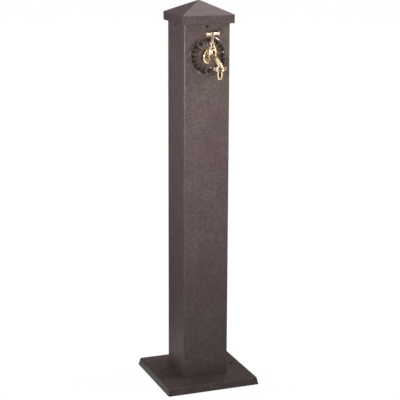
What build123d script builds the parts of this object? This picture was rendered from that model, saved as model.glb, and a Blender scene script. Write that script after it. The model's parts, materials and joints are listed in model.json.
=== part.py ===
from build123d import *
import os
from math import cos, pi, radians, sin

# Garden standpipe: a square steel column on a cast foot, under a hipped cap, with a brass bib tap on a fluted
# rosette. Origin: centre of the foot on the ground. +Z up, the tap points along -Y. Millimetres.

# Column
stand_height = 980.0
column_width = 120.0
column_wall = 2.5
column_corner = 4.0

# Base plate, cast, hollow and ribbed underneath
plate_width = 248.0
plate_lean = 4.0
plate_thickness = 18.0
plate_corner = 6.0
plate_edge = 3.5
plate_skin = 6.0
plate_rim = 9.0
pocket_corner = 3.0
rib_wall = 5.0
fixing_inset = 30.0
fixing_hole_radius = 4.5
fixing_sink_radius = 8.0
fixing_boss_radius = 12.0

# Foot ring, welded inside the column, and the bolts that hold it down
ring_thickness = 8.0
ring_shelf = 2.0
weld_gap = 0.3
bolt_inset = 19.5
bolt_radius = 4.0
bolt_hole_gap = 0.25
bolt_flats = 13.0
bolt_head_height = 5.3
bolt_boss_radius = 13.0
bolt_well_radius = 9.5
bolt_well_depth = 9.5
washer_radius = 8.0
washer_thickness = 1.6
foot_nut_height = 6.5
bolt_end = 1.5

# Cap
cap_overhang = 9.0
cap_skirt = 21.0
cap_rise = 31.5
cap_tip = 5.0
cap_corner = 3.0
cap_tip_corner = 1.2
cap_wall = 4.0
cap_roof = 5.5
cap_overlap = 14.5
cap_edge = 1.0
spigot_gap = 0.5
spigot_wall = 4.0
spigot_corner = 2.0
spigot_margin = 9.0
cap_screw_drop = 6.8
cap_boss_radius = 6.0
cap_boss_depth = 4.0
cap_screw_radius = 2.0
cap_screw_length = 10.0
cap_screw_head_radius = 3.4
cap_screw_head_height = 2.0

# Rosette on the column's front
tap_drop = 130.0
rosette_radius = 48.6
rosette_edge = 3.0
rosette_rim_height = 6.4
rosette_rim_width = 5.0
rosette_groove_height = 3.6
rosette_band_width = 17.0
rosette_band_height = 6.8
rosette_hub_radius = 22.5
rosette_hub_height = 8.0
flute_count = 20
flute_inner_radius = 4.9
flute_outer_radius = 6.1
flute_depth = 2.1
rosette_screw_circle = 36.0
rosette_screw_angles = (122.0, 2.0, -87.0)
rosette_boss_radius = 9.0
rosette_boss_height = 7.6
rosette_well_radius = 6.8
rosette_well_depth = 2.4
rosette_screw_radius = 2.5
rosette_screw_reach = 8.0
rosette_screw_head_radius = 5.2
rosette_screw_head_height = 3.0

# Pipe threads, drawn at their outer radius, and the clearances of what screws or slides on
half_inch_radius = 10.478
half_inch_pitch = 1.814
thread_gap = 0.072
hole_gap = 0.5
screw_gap = 0.05
running_gap = 0.08
face_gap = 0.05
soft_gap = 0.3

# Brass wall flange between the rosette and the tap
flange_radius = 19.0
flange_height = 7.5
flange_rim = 1.6
flange_sheet = 1.2
flange_neck_radius = 12.4

# Tap body
valve_reach = 35.0
tail_reach = 24.0
tail_bore_radius = 6.5
collar_flats = 23.0
collar_width = 5.5
barrel_radius = 9.5
inlet_bore_radius = 5.0
chamber_radius = 11.7
chamber_low = 11.0
chamber_belly = 1.0
chamber_shoulder = 13.0
body_top = 23.0
body_top_radius = 9.7
cavity_radius = 8.6
cavity_floor = 7.0
seat_rise = 1.5
seat_outer_radius = 6.0
seat_bore_radius = 4.4

# Spout, a tapering horn from the valve chamber to the outlet's dome, with a ball over its root
outlet_reach = 84.0
outlet_drop = 22.15
outlet_thread = 5.6
dome_radius = 7.8
dome_height = 6.0
ball_radius = 8.8
ball_out = 7.0
ball_rise = 14.0
spout_root_radius = 10.6
spout_root_out = 3.0
spout_root_rise = 3.8
spout_end_radius = 6.2
spout_end_back = 2.0
spout_end_rise = 3.35
spout_root_slope = 0.4
spout_end_slope = 0.68
spout_bore_root = 4.1
spout_bore_end = 4.4
spout_bore_out = 5.6
spout_bore_rise = 10.0
spout_bore_slope = 0.95

# Bonnet, gland and spindle
bonnet_thread = 6.5
bonnet_skirt_radius = 7.2
bonnet_web = 1.3
bonnet_flats = 16.5
bonnet_flange = 2.2
bonnet_cone_radius = 7.4
bonnet_cone = 1.8
bonnet_neck_radius = 5.7
bonnet_neck = 5.2
gasket_sheet = 0.8
spindle_radius = 4.5
spindle_edge = 0.5
spindle_pitch = 2.5
handle_turns = 2.0
packing_radius = 4.3
packing_depth = 3.7
packing_height = 2.4
gland_radius = 6.7
gland_height = 3.3
stem_radius = 2.4

# Jumper and its washer
jumper_radius = 6.6
jumper_disc = 2.0
jumper_stem_radius = 2.0
jumper_stem = 7.0
jumper_nib_radius = 1.8
seat_washer_radius = 6.3
seat_washer_thickness = 2.5
nib_recess = 0.5

# T-handle
handle_rise = 56.0
handle_span = 39.0
handle_angle = 12.0
handle_height = 9.6
handle_hub_radius = 4.9
handle_depth = 8.8
tang_flats = 3.4
tang_height = 5.0
tang_start = 1.6
tang_gap = 0.2
fishtail_radius = 2.6
fishtail_bite = 1.1
handle_screw_radius = 1.0
handle_screw_length = 5.0
handle_screw_head_radius = 2.4
handle_screw_head_height = 1.6
hub_edge = 0.7

# Cross-sections of the handle's arms: shares of the half span, of the height and of the depth
handle_arm_shares = ((0.0, 0.94, 0.98), (0.34, 0.88, 0.80), (0.58, 0.84, 0.66), (0.84, 0.98, 0.62), (1.0, 1.04, 0.56))

# Union nut, hose tail and outlet gasket
nut_turns = 3.0
nut_radius = 12.2
nut_lip = 1.6
nut_edge = 1.0
wing_span = 34.0
wing_height = 8.8
wing_thickness = 5.0
wing_corner = 2.6
tail_flange_radius = 9.9
tail_flange = 1.5
outlet_gasket_thickness = 1.5
hose_radius = 7.25
hose_root_radius = 6.7
hose_tail_length = 21.8
hose_plain = 12.0
hose_tip_radius = 5.6
hose_bore_radius = 4.8
hose_root = 2.6
hose_groove = 1.0

# Pipework inside the column
riser_depth = 33.0
riser_radius = 7.5
riser_wall = 1.0
inlet_height = 70.0
backing_radius = 17.0
backing_thickness = 2.0
locknut_flats = 27.0
locknut_height = 6.0
elbow_socket_radius = 14.0
elbow_socket = 21.0
elbow_thread = 12.0
elbow_radius = 12.5
elbow_leg_radius = 10.4
elbow_leg = 26.0
elbow_pipe_socket = 12.0
pipe_nut_flats = 26.0
pipe_nut_height = 14.0
pipe_nut_lip = 3.0
pipe_nut_drop = 8.0
olive_radius = 9.6
olive_height = 4.4
olive_edge = 1.2

# Supply inlet at the back
inlet_flange_flats = 27.0
inlet_flange = 6.0
inlet_thread = 15.0
inlet_seal_radius = 16.0
inlet_seal = 1.5
inlet_bore = 7.5

# One overrun serves every through cut
overrun = 4.0

# Places worked out from the sizes above
half_column = column_width / 2
column_bore = column_width - 2 * column_wall
bolt_spacing = column_bore - 2 * bolt_inset
ring_bore_radius = bolt_spacing / 2 - ring_shelf
fixing_spacing = plate_width - 2 * fixing_inset
cap_width = column_width + 2 * cap_overhang
tap_height = stand_height - tap_drop
skirt_top = stand_height - cap_rise
skirt_low = skirt_top - cap_skirt
column_top = skirt_low + cap_overlap
cap_screw_height = skirt_low - cap_screw_drop
valve_y = -(half_column + valve_reach)
outlet_y = -(half_column + outlet_reach)
riser_y = -half_column + riser_depth
outlet_face = tap_height - outlet_drop
seat_face = tap_height + cavity_floor + seat_rise
body_top_height = tap_height + body_top
bonnet_seat = body_top_height + gasket_sheet
bonnet_top = bonnet_seat + bonnet_flange + bonnet_cone + bonnet_neck
valve_lift = spindle_pitch * handle_turns
washer_top = seat_face + seat_washer_thickness
disc_top = washer_top + jumper_disc
handle_middle = tap_height + handle_rise
handle_low = handle_middle - handle_height / 2
handle_top = handle_middle + handle_height / 2
plate_top_width = plate_width - 2 * plate_lean
hollow_width = plate_top_width - 2 * plate_rim
bolt_hole_radius = bolt_radius + bolt_hole_gap
nut_height = nut_lip + face_gap + tail_flange + outlet_gasket_thickness + nut_turns * half_inch_pitch

# Planes on the column's front: outward from the face, and through the tap's axis as (outward, up)
front = Plane(origin=(0, -half_column, tap_height), x_dir=(1, 0, 0), z_dir=(0, -1, 0))
tap_side = Plane(origin=(0, -half_column, tap_height), x_dir=(0, -1, 0), z_dir=(-1, 0, 0))
tap_axis = Axis((0, -half_column, tap_height), (0, -1, 0))
valve_side = Plane(origin=(0, valve_y, 0), x_dir=(1, 0, 0), z_dir=(0, -1, 0))
valve_axis = Axis((0, valve_y, 0), (0, 0, 1))
outlet_side = Plane(origin=(0, outlet_y, 0), x_dir=(1, 0, 0), z_dir=(0, -1, 0))
outlet_axis = Axis((0, outlet_y, 0), (0, 0, 1))

# Planes through the middle of each side of the column at the height of the cap's screws
side_planes = [
    Plane(origin=(0, 0, cap_screw_height), z_dir=(cos(turn * pi / 2), sin(turn * pi / 2), 0)) for turn in range(4)
]
rosette_screw_points = [
    (rosette_screw_circle * cos(radians(angle)), rosette_screw_circle * sin(radians(angle)))
    for angle in rosette_screw_angles
]
inlet_back = Plane(origin=(0, half_column, inlet_height), x_dir=(1, 0, 0), z_dir=(0, 1, 0))


def valve_level(height):
    return Plane(origin=(0, valve_y, height))


def outlet_level(height):
    return Plane(origin=(0, outlet_y, height))


def riser_level(height):
    return Plane(origin=(0, riser_y, height))


def save(builder, name):
    builder.part.label = name
    export_step(builder.part, f"parts/{name}.step")


# A round-headed screw standing on the ground plane, its shank below and a slot across the head
def round_head_screw(head_radius, head_height, shank_radius, shank_length):
    head_edge = head_height / 4
    slot_width = head_radius / 4
    slot_depth = head_height / 2
    with BuildPart() as screw:
        with BuildSketch(Plane.XZ):
            with BuildLine():
                Polyline(
                    (0, head_height),
                    (0, -shank_length),
                    (shank_radius, -shank_length),
                    (shank_radius, 0),
                    (head_radius, 0),
                    (head_radius, head_edge),
                )
                RadiusArc((head_radius, head_edge), (0, head_height), -1.3 * head_radius)
            make_face()
        revolve(axis=Axis.Z)
        with BuildSketch(Plane.XY.offset(head_height - slot_depth)):
            Rectangle(2 * head_radius + overrun, slot_width)
        extrude(amount=head_height, mode=Mode.SUBTRACT)
    return screw.part


# A nut or a hexagonal flange: flats across, bored, with its corners turned down on the far side
def hexagon(plane, flats, height, bore_radius):
    corner = flats / 20
    with BuildPart() as nut:
        with BuildSketch(plane):
            RegularPolygon(flats / 2, 6, major_radius=False)
        extrude(amount=height)
        with BuildSketch(plane):
            Circle(flats / 2 + corner)
        extrude(amount=height, mode=Mode.INTERSECT)
        with BuildSketch(plane):
            Circle(bore_radius)
        extrude(amount=height, mode=Mode.SUBTRACT)
    return nut.part


# An elbow with a threaded socket one way and a compression leg for the riser the other way
def pipe_elbow(corner, socket_way, leg_way):
    socket_plane = Plane(origin=corner, z_dir=socket_way)
    leg_plane = Plane(origin=corner, z_dir=leg_way)
    thread_start = elbow_socket - elbow_thread
    pipe_start = elbow_leg - elbow_pipe_socket
    with BuildPart() as elbow:
        with BuildSketch(socket_plane):
            Circle(elbow_socket_radius)
        extrude(amount=elbow_socket)
        with BuildSketch(leg_plane):
            Circle(elbow_leg_radius)
        extrude(amount=elbow_leg)
        with Locations(corner):
            Sphere(elbow_radius)
        with BuildSketch(socket_plane):
            Circle(tail_bore_radius)
        extrude(amount=elbow_socket, mode=Mode.SUBTRACT)
        with BuildSketch(leg_plane):
            Circle(tail_bore_radius)
        extrude(amount=elbow_leg, mode=Mode.SUBTRACT)
        with BuildSketch(socket_plane.offset(thread_start)):
            Circle(half_inch_radius + thread_gap)
        extrude(amount=elbow_thread, mode=Mode.SUBTRACT)
        with BuildSketch(leg_plane.offset(pipe_start)):
            Circle(riser_radius + screw_gap)
        extrude(amount=elbow_pipe_socket, mode=Mode.SUBTRACT)
    return elbow.part


# A compression nut round the riser, its lip away from the elbow; way is 1 where the elbow is above
def pipe_nut(lip_height, way):
    plane = Plane(origin=(0, riser_y, lip_height), z_dir=(0, 0, way))
    with BuildPart() as nut:
        add(hexagon(plane, pipe_nut_flats, pipe_nut_height, riser_radius + hole_gap / 2))
        with BuildSketch(plane.offset(pipe_nut_lip)):
            Circle(elbow_leg_radius + thread_gap)
        extrude(amount=pipe_nut_height, mode=Mode.SUBTRACT)
    return nut.part


# The soft metal ring squeezed between the elbow's leg and the nut's lip
def olive(height):
    inner = riser_radius + screw_gap
    with BuildPart() as ring:
        with BuildSketch(Plane(origin=(0, riser_y, height), x_dir=(1, 0, 0), z_dir=(0, -1, 0))):
            with BuildLine():
                Polyline(
                    (inner, 0),
                    (olive_radius - olive_edge, 0),
                    (olive_radius, olive_edge),
                    (olive_radius, olive_height - olive_edge),
                    (olive_radius - olive_edge, olive_height),
                    (inner, olive_height),
                    close=True,
                )
            make_face()
        revolve(axis=Axis((0, riser_y, 0), (0, 0, 1)))
    return ring.part


os.makedirs("parts", exist_ok=True)

# Base plate: leaning sides, a rounded top edge, ribs and bosses in the hollow underneath
with BuildPart() as base_plate:
    with BuildSketch():
        RectangleRounded(plate_width, plate_width, plate_corner)
    with BuildSketch(Plane.XY.offset(plate_thickness)):
        RectangleRounded(plate_top_width, plate_top_width, plate_corner)
    loft()
    fillet(base_plate.faces().sort_by(Axis.Z)[-1].edges(), plate_edge)
    with BuildSketch():
        RectangleRounded(hollow_width, hollow_width, pocket_corner)
        with GridLocations(0, bolt_spacing, 1, 2):
            Rectangle(hollow_width, rib_wall, mode=Mode.SUBTRACT)
        with GridLocations(bolt_spacing, 0, 2, 1):
            Rectangle(rib_wall, hollow_width, mode=Mode.SUBTRACT)
        with GridLocations(bolt_spacing, bolt_spacing, 2, 2):
            Circle(bolt_boss_radius, mode=Mode.SUBTRACT)
        with GridLocations(fixing_spacing, 0, 2, 1):
            Circle(fixing_boss_radius, mode=Mode.SUBTRACT)
    extrude(amount=plate_thickness - plate_skin, mode=Mode.SUBTRACT)
    with BuildSketch():
        with GridLocations(bolt_spacing, bolt_spacing, 2, 2):
            Circle(bolt_well_radius)
    extrude(amount=bolt_well_depth, mode=Mode.SUBTRACT)
    with BuildSketch():
        with GridLocations(bolt_spacing, bolt_spacing, 2, 2):
            Circle(bolt_hole_radius)
    extrude(amount=plate_thickness, mode=Mode.SUBTRACT)
    with Locations(Plane.XY.offset(plate_thickness)):
        with GridLocations(fixing_spacing, 0, 2, 1):
            CounterSinkHole(fixing_hole_radius, fixing_sink_radius)
save(base_plate, "base_plate")

# Foot ring and its bolts, washers and nuts
with BuildPart() as foot_ring:
    with BuildSketch(Plane.XY.offset(plate_thickness)):
        RectangleRounded(column_bore - 2 * weld_gap, column_bore - 2 * weld_gap, column_corner)
        Circle(ring_bore_radius, mode=Mode.SUBTRACT)
        with GridLocations(bolt_spacing, bolt_spacing, 2, 2):
            Circle(bolt_hole_radius, mode=Mode.SUBTRACT)
    extrude(amount=ring_thickness)
save(foot_ring, "foot_ring")

washer_low = bolt_well_depth - washer_thickness
with BuildPart() as foot_washers:
    with BuildSketch(Plane.XY.offset(washer_low)):
        with GridLocations(bolt_spacing, bolt_spacing, 2, 2):
            Circle(washer_radius)
            Circle(bolt_hole_radius, mode=Mode.SUBTRACT)
    extrude(amount=washer_thickness)
save(foot_washers, "foot_washers")

ring_top = plate_thickness + ring_thickness
with BuildPart() as foot_bolts:
    with GridLocations(bolt_spacing, bolt_spacing, 2, 2):
        add(hexagon(Plane.XY.offset(washer_low - bolt_head_height), bolt_flats, bolt_head_height, bolt_radius))
    with BuildSketch(Plane.XY.offset(washer_low - bolt_head_height)):
        with GridLocations(bolt_spacing, bolt_spacing, 2, 2):
            Circle(bolt_radius)
    extrude(amount=ring_top + foot_nut_height + bolt_end + bolt_head_height - washer_low)
save(foot_bolts, "foot_bolts")

with BuildPart() as foot_nuts:
    with GridLocations(bolt_spacing, bolt_spacing, 2, 2):
        add(hexagon(Plane.XY.offset(ring_top), bolt_flats, foot_nut_height, bolt_radius + screw_gap))
save(foot_nuts, "foot_nuts")

# Column: square tube, drilled for the tap, the rosette, the cap and the inlet
with BuildPart() as column_tube:
    with BuildSketch(Plane.XY.offset(plate_thickness)):
        RectangleRounded(column_width, column_width, column_corner)
        RectangleRounded(column_bore, column_bore, column_corner - column_wall, mode=Mode.SUBTRACT)
    extrude(amount=column_top - plate_thickness)
    with BuildSketch(front.offset(-column_wall - overrun)):
        Circle(half_inch_radius + hole_gap)
        with Locations(*rosette_screw_points):
            Circle(rosette_screw_radius + screw_gap)
    extrude(amount=column_wall + 2 * overrun, mode=Mode.SUBTRACT)
    with BuildSketch(*[plane.offset(half_column - column_wall - overrun) for plane in side_planes]):
        Circle(cap_screw_radius + hole_gap / 2)
    extrude(amount=column_wall + 2 * overrun, mode=Mode.SUBTRACT)
    with BuildSketch(inlet_back.offset(-column_wall - overrun)):
        Circle(half_inch_radius + hole_gap)
    extrude(amount=column_wall + 2 * overrun, mode=Mode.SUBTRACT)
save(column_tube, "column_tube")

# Cap: hipped roof and skirt outside, a spigot with screw bosses that drops inside the column
spigot_width = column_bore - 2 * spigot_gap
spigot_bore = spigot_width - 2 * spigot_wall
spigot_low = cap_screw_height - spigot_margin
roof_slope = cap_rise / ((cap_width - cap_tip) / 2)
ceiling = skirt_top + roof_slope * (cap_width - spigot_bore) / 2 - cap_roof
ceiling_tip = ceiling + roof_slope * (spigot_bore - cap_tip) / 2
with BuildPart() as cap:
    with BuildSketch(Plane.XY.offset(skirt_low)):
        RectangleRounded(cap_width, cap_width, cap_corner)
    extrude(amount=cap_skirt)
    chamfer(cap.faces().sort_by(Axis.Z)[0].edges(), cap_edge)
    with BuildSketch(Plane.XY.offset(skirt_top)):
        RectangleRounded(cap_width, cap_width, cap_corner)
    with BuildSketch(Plane.XY.offset(stand_height)):
        RectangleRounded(cap_tip, cap_tip, cap_tip_corner)
    loft()
    with BuildSketch(Plane.XY.offset(skirt_low)):
        RectangleRounded(cap_width - 2 * cap_wall, cap_width - 2 * cap_wall, spigot_corner)
        RectangleRounded(spigot_width, spigot_width, spigot_corner, mode=Mode.SUBTRACT)
    extrude(amount=cap_overlap, mode=Mode.SUBTRACT)
    with BuildSketch(Plane.XY.offset(spigot_low)):
        RectangleRounded(spigot_width, spigot_width, spigot_corner)
    extrude(amount=column_top - spigot_low)
    with BuildSketch(Plane.XY.offset(spigot_low)):
        RectangleRounded(spigot_bore, spigot_bore, spigot_corner)
    extrude(amount=ceiling - spigot_low, mode=Mode.SUBTRACT)
    with BuildSketch(Plane.XY.offset(ceiling)):
        RectangleRounded(spigot_bore, spigot_bore, spigot_corner)
    with BuildSketch(Plane.XY.offset(ceiling_tip)):
        RectangleRounded(cap_tip, cap_tip, cap_tip_corner)
    loft(mode=Mode.SUBTRACT)
    with BuildSketch(*[plane.offset(spigot_bore / 2 - cap_boss_depth) for plane in side_planes]):
        Circle(cap_boss_radius)
    extrude(amount=cap_boss_depth + spigot_wall / 2)
    with BuildSketch(*[plane.offset(spigot_bore / 2 - cap_boss_depth - overrun) for plane in side_planes]):
        Circle(cap_screw_radius + screw_gap)
    extrude(amount=cap_boss_depth + spigot_wall + 2 * overrun, mode=Mode.SUBTRACT)
save(cap, "cap")

with BuildPart() as cap_screws:
    with Locations(*[plane.offset(half_column) for plane in side_planes]):
        add(round_head_screw(cap_screw_head_radius, cap_screw_head_height, cap_screw_radius, cap_screw_length))
save(cap_screws, "cap_screws")

# Rosette: rolled rim, fluted band, hub for the brass flange and three screw rounds
rim_inner = rosette_radius - rosette_rim_width
band_outer = rim_inner - rosette_edge / 2
band_inner = band_outer - rosette_band_width
band_fall = rosette_band_height - rosette_groove_height
band_tilt = 180 / pi * band_fall / rosette_band_width
with BuildPart() as rosette:
    with BuildSketch(tap_side):
        with BuildLine():
            Polyline(
                (0, half_inch_radius + hole_gap),
                (0, rosette_radius),
                (rosette_edge, rosette_radius),
            )
            ThreePointArc(
                (rosette_edge, rosette_radius),
                (rosette_rim_height, (rosette_radius + rim_inner) / 2),
                (rosette_edge, rim_inner),
            )
            Polyline(
                (rosette_edge, rim_inner),
                (rosette_groove_height, band_outer),
                (rosette_band_height, band_inner),
                (rosette_hub_height, rosette_hub_radius),
                (rosette_hub_height, half_inch_radius + hole_gap),
                (0, half_inch_radius + hole_gap),
            )
        make_face()
    revolve(axis=tap_axis)
    with Locations(front.offset((rosette_groove_height + rosette_band_height) / 2 + flute_outer_radius - flute_depth)):
        with PolarLocations((band_inner + band_outer) / 2, flute_count):
            Cone(
                flute_inner_radius,
                flute_outer_radius,
                rosette_band_width,
                rotation=(0, 90 + band_tilt, 0),
                mode=Mode.SUBTRACT,
            )
    with BuildSketch(front):
        with Locations(*rosette_screw_points):
            Circle(rosette_boss_radius)
    extrude(amount=rosette_boss_height)
    with BuildSketch(front.offset(rosette_boss_height - rosette_well_depth)):
        with Locations(*rosette_screw_points):
            Circle(rosette_well_radius)
    extrude(amount=rosette_well_depth, mode=Mode.SUBTRACT)
    with BuildSketch(front):
        with Locations(*rosette_screw_points):
            Circle(rosette_screw_radius + screw_gap)
    extrude(amount=rosette_boss_height, mode=Mode.SUBTRACT)
save(rosette, "rosette")

rosette_screw_seat = rosette_boss_height - rosette_well_depth
with BuildPart() as rosette_screws:
    with Locations(front.offset(rosette_screw_seat)):
        with Locations(*rosette_screw_points):
            add(
                round_head_screw(
                    rosette_screw_head_radius,
                    rosette_screw_head_height,
                    rosette_screw_radius,
                    rosette_screw_seat + rosette_screw_reach,
                )
            )
save(rosette_screws, "rosette_screws")

# Brass wall flange: a flat rim that sweeps up to a short neck round the tap's tail
flange_front = rosette_hub_height + flange_height
flange_bore = half_inch_radius + hole_gap / 2
with BuildPart() as wall_flange:
    with BuildSketch(tap_side):
        with BuildLine():
            Polyline(
                (rosette_hub_height, flange_radius - flange_sheet),
                (rosette_hub_height, flange_radius),
                (rosette_hub_height + flange_rim, flange_radius),
            )
            ThreePointArc(
                (rosette_hub_height + flange_rim, flange_radius),
                (rosette_hub_height + flange_rim + flange_height / 5, (flange_radius + flange_neck_radius) / 2),
                (flange_front, flange_neck_radius),
            )
            Polyline(
                (flange_front, flange_neck_radius),
                (flange_front, flange_bore),
                (flange_front - flange_sheet, flange_bore),
                (flange_front - flange_sheet, flange_neck_radius - flange_sheet),
            )
            ThreePointArc(
                (flange_front - flange_sheet, flange_neck_radius - flange_sheet),
                (
                    rosette_hub_height + flange_rim + flange_height / 5 - flange_sheet,
                    (flange_radius + flange_neck_radius) / 2 - flange_sheet,
                ),
                (rosette_hub_height, flange_radius - flange_sheet),
            )
        make_face()
    revolve(axis=tap_axis)
save(wall_flange, "wall_flange")

# The middle lines of the spout and of its bore, down to just above the outlet's thread
thread_top = outlet_face + outlet_thread
spout_end = (0, outlet_y + spout_end_back, thread_top + spout_end_rise)
end_way = (0, -1, -spout_end_slope)
with BuildLine() as spout_line:
    Spline(
        (0, valve_y - spout_root_out, tap_height + spout_root_rise),
        spout_end,
        tangents=((0, -1, -spout_root_slope), end_way),
    )
with BuildLine() as bore_line:
    Spline(
        (0, valve_y - spout_bore_out, tap_height + spout_bore_rise),
        spout_end,
        tangents=((0, -1, -spout_bore_slope), end_way),
    )
spout_curve = spout_line.line
bore_curve = bore_line.line
spout_shares = [step / 6 for step in range(7)]

# Tap body: threaded tail, collar, valve chamber with its seat, curved spout and outlet thread
with BuildPart() as tap_body:
    with BuildSketch(front.offset(-tail_reach)):
        Circle(half_inch_radius)
    extrude(amount=tail_reach + flange_front)
    with BuildSketch(front.offset(flange_front)):
        RegularPolygon(collar_flats / 2, 8, major_radius=False, rotation=180 / 8)
    extrude(amount=collar_width)
    with BuildSketch(front.offset(flange_front)):
        Circle(barrel_radius)
    extrude(amount=valve_reach - flange_front)
    with BuildSketch(valve_side):
        with BuildLine():
            ThreePointArc(
                (0, tap_height - chamber_low),
                (chamber_radius * sin(pi / 4), tap_height - chamber_low * cos(pi / 4) + chamber_belly / 2),
                (chamber_radius, tap_height + chamber_belly),
            )
            Line((chamber_radius, tap_height + chamber_belly), (chamber_radius, tap_height + chamber_shoulder))
            ThreePointArc(
                (chamber_radius, tap_height + chamber_shoulder),
                (
                    (chamber_radius * 2 + body_top_radius) / 3,
                    tap_height + (chamber_shoulder + body_top * 2) / 3,
                ),
                (body_top_radius, body_top_height),
            )
            Polyline((body_top_radius, body_top_height), (0, body_top_height), (0, tap_height - chamber_low))
        make_face()
    revolve(axis=valve_axis)
    for share in spout_shares:
        with BuildSketch(Plane(origin=spout_curve @ share, z_dir=spout_curve % share)):
            Circle(spout_root_radius + (spout_end_radius - spout_root_radius) * share)
    loft()
    with Locations(spout_end):
        Sphere(spout_end_radius)
    with Locations((0, valve_y - ball_out, tap_height + ball_rise)):
        Sphere(ball_radius)
    with BuildSketch(outlet_side):
        with BuildLine():
            Polyline(
                (0, outlet_face),
                (half_inch_radius, outlet_face),
                (half_inch_radius, thread_top),
                (dome_radius, thread_top),
            )
            ThreePointArc(
                (dome_radius, thread_top),
                (dome_radius * cos(pi / 4), thread_top + dome_height * sin(pi / 4)),
                (0, thread_top + dome_height),
            )
            Line((0, thread_top + dome_height), (0, outlet_face))
        make_face()
    revolve(axis=outlet_axis)
    with BuildSketch(front.offset(-tail_reach)):
        Circle(tail_bore_radius)
    extrude(amount=tail_reach + flange_front, mode=Mode.SUBTRACT)
    with BuildSketch(front):
        Circle(inlet_bore_radius)
    extrude(amount=valve_reach, mode=Mode.SUBTRACT)
    with BuildSketch(valve_level(tap_height)):
        Circle(seat_bore_radius)
    extrude(amount=body_top, mode=Mode.SUBTRACT)
    with BuildSketch(valve_level(tap_height + cavity_floor)):
        Circle(cavity_radius)
    extrude(amount=body_top - cavity_floor, mode=Mode.SUBTRACT)
    for share in spout_shares:
        with BuildSketch(Plane(origin=bore_curve @ share, z_dir=bore_curve % share)):
            Circle(spout_bore_root + (spout_bore_end - spout_bore_root) * share)
    loft(mode=Mode.SUBTRACT)
    with Locations(spout_end):
        Sphere(spout_bore_end, mode=Mode.SUBTRACT)
    with BuildSketch(outlet_level(outlet_face)):
        Circle(spout_bore_end)
    extrude(amount=spout_end[2] - outlet_face, mode=Mode.SUBTRACT)
    with BuildSketch(valve_level(tap_height + cavity_floor - seat_rise)):
        Circle(seat_outer_radius)
        Circle(seat_bore_radius, mode=Mode.SUBTRACT)
    extrude(amount=2 * seat_rise)
save(tap_body, "tap_body")

# Bonnet gasket, and the bonnet that screws down on it
with BuildPart() as bonnet_gasket:
    with BuildSketch(valve_level(body_top_height)):
        Circle(body_top_radius)
        Circle(cavity_radius + hole_gap, mode=Mode.SUBTRACT)
    extrude(amount=gasket_sheet)
save(bonnet_gasket, "bonnet_gasket")

bonnet_low = body_top_height - bonnet_thread
packing_low = bonnet_top - packing_depth
thread_bore_low = disc_top + valve_lift + soft_gap
thread_bore_top = packing_low - bonnet_web
with BuildPart() as bonnet:
    with BuildSketch(valve_side):
        with BuildLine():
            Polyline(
                (0, bonnet_low),
                (cavity_radius - thread_gap, bonnet_low),
                (cavity_radius - thread_gap, bonnet_seat + bonnet_flange),
                (bonnet_cone_radius, bonnet_seat + bonnet_flange),
                (bonnet_neck_radius, bonnet_top - bonnet_neck),
                (bonnet_neck_radius, bonnet_top),
                (0, bonnet_top),
                close=True,
            )
        make_face()
    revolve(axis=valve_axis)
    add(hexagon(valve_level(bonnet_seat), bonnet_flats, bonnet_flange, bonnet_neck_radius))
    with BuildSketch(valve_level(bonnet_low)):
        Circle(bonnet_skirt_radius)
    extrude(amount=thread_bore_low - bonnet_low, mode=Mode.SUBTRACT)
    with BuildSketch(valve_level(thread_bore_low)):
        Circle(spindle_radius + thread_gap)
    extrude(amount=thread_bore_top - thread_bore_low, mode=Mode.SUBTRACT)
    with BuildSketch(valve_level(thread_bore_top)):
        Circle(stem_radius + soft_gap)
    extrude(amount=bonnet_top - thread_bore_top, mode=Mode.SUBTRACT)
    with BuildSketch(valve_level(packing_low)):
        Circle(packing_radius)
    extrude(amount=packing_depth, mode=Mode.SUBTRACT)
save(bonnet, "bonnet")

with BuildPart() as gland_packing:
    with BuildSketch(valve_level(packing_low)):
        Circle(packing_radius - screw_gap)
        Circle(stem_radius + running_gap, mode=Mode.SUBTRACT)
    extrude(amount=packing_height)
save(gland_packing, "gland_packing")

gland_spigot = packing_depth - packing_height
with BuildPart() as gland_nut:
    add(hexagon(valve_level(bonnet_top), 2 * gland_radius, gland_height, stem_radius + running_gap))
    with BuildSketch(valve_level(bonnet_top - gland_spigot)):
        Circle(packing_radius - screw_gap)
        Circle(stem_radius + running_gap, mode=Mode.SUBTRACT)
    extrude(amount=gland_spigot)
save(gland_nut, "gland_nut")

# Jumper: disc, stem that turns loose in the spindle, and a nib that holds the washer
with BuildPart() as jumper:
    with BuildSketch(valve_side):
        with BuildLine():
            Polyline(
                (0, seat_face + nib_recess),
                (jumper_nib_radius, seat_face + nib_recess),
                (jumper_nib_radius, washer_top),
                (jumper_radius, washer_top),
                (jumper_radius, disc_top),
                (jumper_stem_radius, disc_top),
                (jumper_stem_radius, disc_top + jumper_stem),
                (0, disc_top + jumper_stem),
                close=True,
            )
        make_face()
    revolve(axis=valve_axis)
save(jumper, "jumper")

with BuildPart() as seat_washer:
    with BuildSketch(valve_level(seat_face)):
        Circle(seat_washer_radius)
        Circle(jumper_nib_radius + screw_gap, mode=Mode.SUBTRACT)
    extrude(amount=seat_washer_thickness)
save(seat_washer, "seat_washer")

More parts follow.
